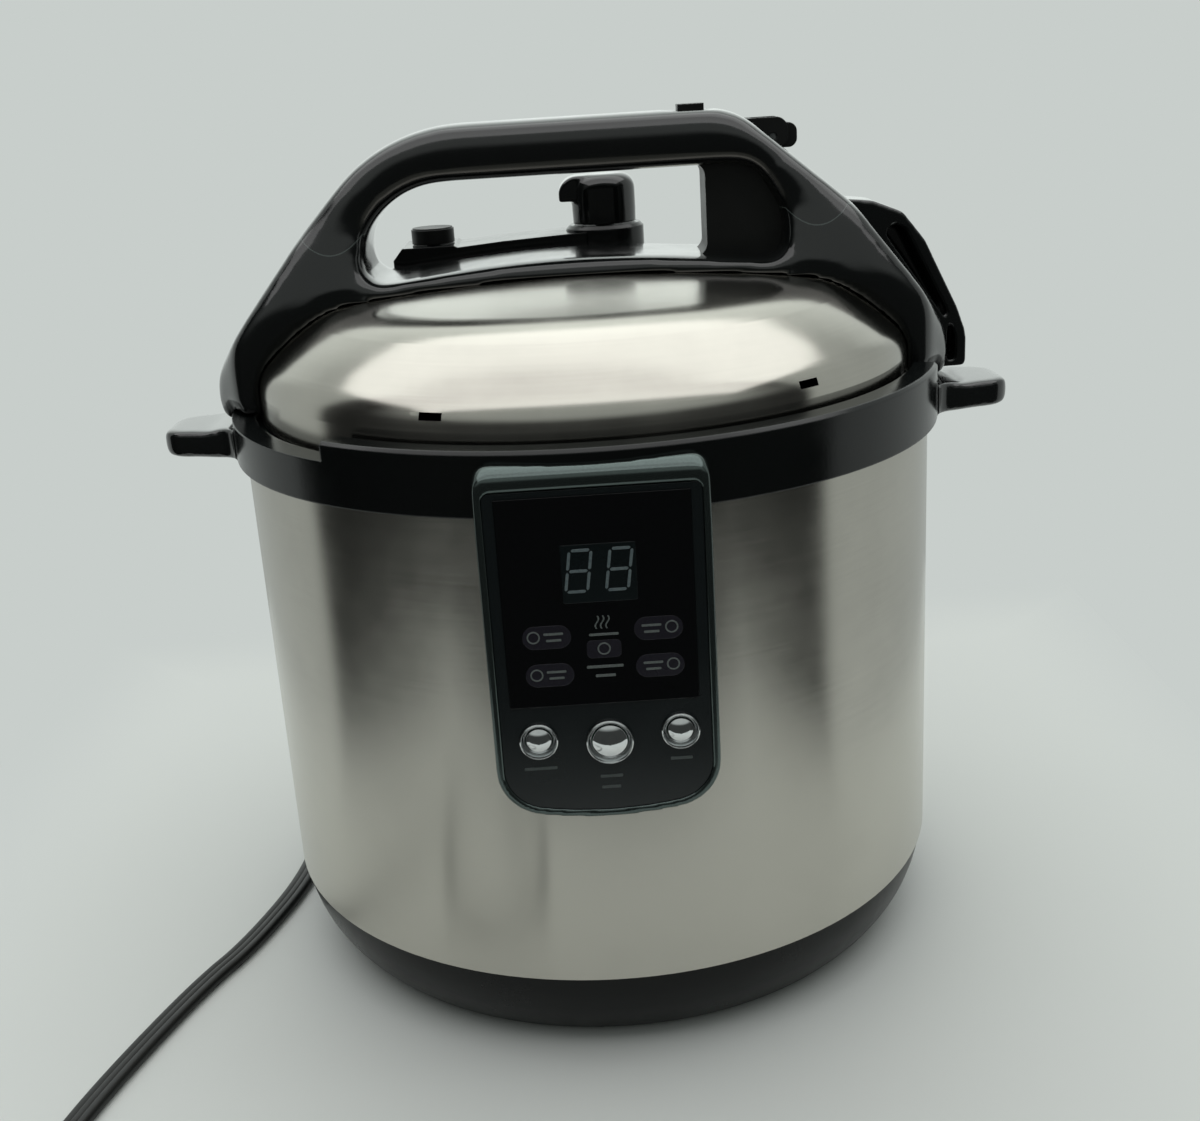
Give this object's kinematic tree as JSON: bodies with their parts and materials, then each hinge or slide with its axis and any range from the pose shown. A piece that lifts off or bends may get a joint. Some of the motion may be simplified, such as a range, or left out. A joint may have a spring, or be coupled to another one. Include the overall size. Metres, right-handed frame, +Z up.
{
  "type": "electric pressure cooker",
  "caption": "Counter-top electric pressure cooker with a brushed steel shell, black base and collar, control panel, locking domed lid with an arched handle, steam knob and power cord.",
  "frame": {"origin": "On the cooker's vertical axis at table height, under the middle of the feet", "axes": "+Z up, the control panel faces -Y, +X to the right seen from the front"},
  "size_m": [0.3762, 0.482, 0.3285],
  "materials": {
    "black_gloss": "glossy moulded black",
    "black_matte": "satin moulded black",
    "shell_steel": "brushed",
    "sheet_steel": "plain pressed sheet",
    "bright_chrome": "polished",
    "bezel_grey": "satin dark grey",
    "slate_grey": "satin slate",
    "window_black": "glossy smoked window",
    "rubber_black": "matt",
    "seal_clear": "translucent silicone",
    "cast_alloy": "as cast",
    "board_green": "circuit board",
    "cup_clear": "clear moulded",
    "cord_black": "flexible sheath",
    "pin_brass": "plated"
  },
  "bodies": {
    "base": {"base_pan": "black_gloss", "rubber_feet": "rubber_black", "base_screws": "sheet_steel", "outer_shell": "shell_steel", "top_collar": "black_gloss", "side_handle_left": "black_gloss", "side_handle_right": "black_gloss", "lock_ring": "sheet_steel", "inner_liner": "sheet_steel", "inner_pot": "sheet_steel", "heating_plate": "cast_alloy", "sensor_bracket": "sheet_steel", "control_bezel": "bezel_grey", "display_window": "window_black", "button_plate": "slate_grey", "button_rings": "bright_chrome", "display_board": "board_green", "led_display": "black_matte", "power_board": "board_green", "cup_holder": "black_matte", "strain_relief": "rubber_black", "power_cord": "cord_black", "cord_coil": "cord_black", "plug_body": "cord_black", "plug_pins": "pin_brass"},
    "inner_lid": {"inner_lid_plate": "sheet_steel", "sealing_ring": "seal_clear", "centre_grommet": "seal_clear"},
    "lid": {"lid_pan": "sheet_steel", "post_nut": "sheet_steel", "lid_dome": "shell_steel", "handle_screws": "sheet_steel", "handle_saddle": "black_gloss", "handle_grip": "black_gloss", "lock_housing": "black_matte", "leg_fin": "black_gloss", "valve_plate": "black_gloss", "valve_seat": "black_gloss", "valve_pipe": "sheet_steel", "release_bracket": "black_matte", "lever_pin": "sheet_steel"},
    "temperature_sensor": {"temperature_sensor": "cast_alloy"},
    "condensation_cup": {"condensation_cup": "cup_clear"},
    "left_button": {"left_button": "bright_chrome"},
    "centre_button": {"centre_button": "bright_chrome"},
    "right_button": {"right_button": "bright_chrome"},
    "valve_knob": {"valve_knob": "black_gloss"},
    "float_valve": {"float_valve": "black_matte"},
    "release_tab": {"release_tab": "black_matte"},
    "release_lever": {"release_lever": "black_matte"}
  },
  "joints": [
    {"name": "lid_lift", "type": "slide", "parent": "base", "child": "inner_lid", "axis": [0, 0, 1], "range_m": [0, 0.24]},
    {"name": "lid_turn", "type": "hinge", "parent": "inner_lid", "child": "lid", "pos_m": [0, 0, 0.21], "axis": [0, 0, 1], "range_deg": [0, 30]},
    {"name": "valve_turn", "type": "hinge", "parent": "lid", "child": "valve_knob", "pos_m": [0.013, 0.048, 0.29], "axis": [0, 0, 1], "range_deg": [-90, 0]},
    {"name": "float_rise", "type": "slide", "parent": "lid", "child": "float_valve", "axis": [0, 0, 1], "range_m": [0, 0.004]},
    {"name": "left_press", "type": "slide", "parent": "base", "child": "left_button", "axis": [0, 1, 0], "range_m": [0, 0.0012], "stiffness_N_per_m": 800},
    {"name": "centre_press", "type": "slide", "parent": "base", "child": "centre_button", "axis": [0, 1, 0], "range_m": [0, 0.0012], "stiffness_N_per_m": 800},
    {"name": "right_press", "type": "slide", "parent": "base", "child": "right_button", "axis": [0, 1, 0], "range_m": [0, 0.0012], "stiffness_N_per_m": 800},
    {"name": "tab_press", "type": "slide", "parent": "lid", "child": "release_tab", "axis": [0, 0, -1], "range_m": [0, 0.0025], "stiffness_N_per_m": 600},
    {"name": "lever_swing", "type": "hinge", "parent": "lid", "child": "release_lever", "pos_m": [0.081, 0.0235, 0.3135], "axis": [0, 1, 0], "range_deg": [0, 15]},
    {"name": "sensor_press", "type": "slide", "parent": "base", "child": "temperature_sensor", "axis": [0, 0, -1], "range_m": [0, 0.002], "stiffness_N_per_m": 500},
    {"name": "cup_pull", "type": "slide", "parent": "base", "child": "condensation_cup", "axis": [0, 1, 0], "range_m": [0, 0.03]}
  ],
  "couplings": [
    {"joint": "lever_swing", "follows": "tab_press", "rad_per_m": 100}
  ]
}
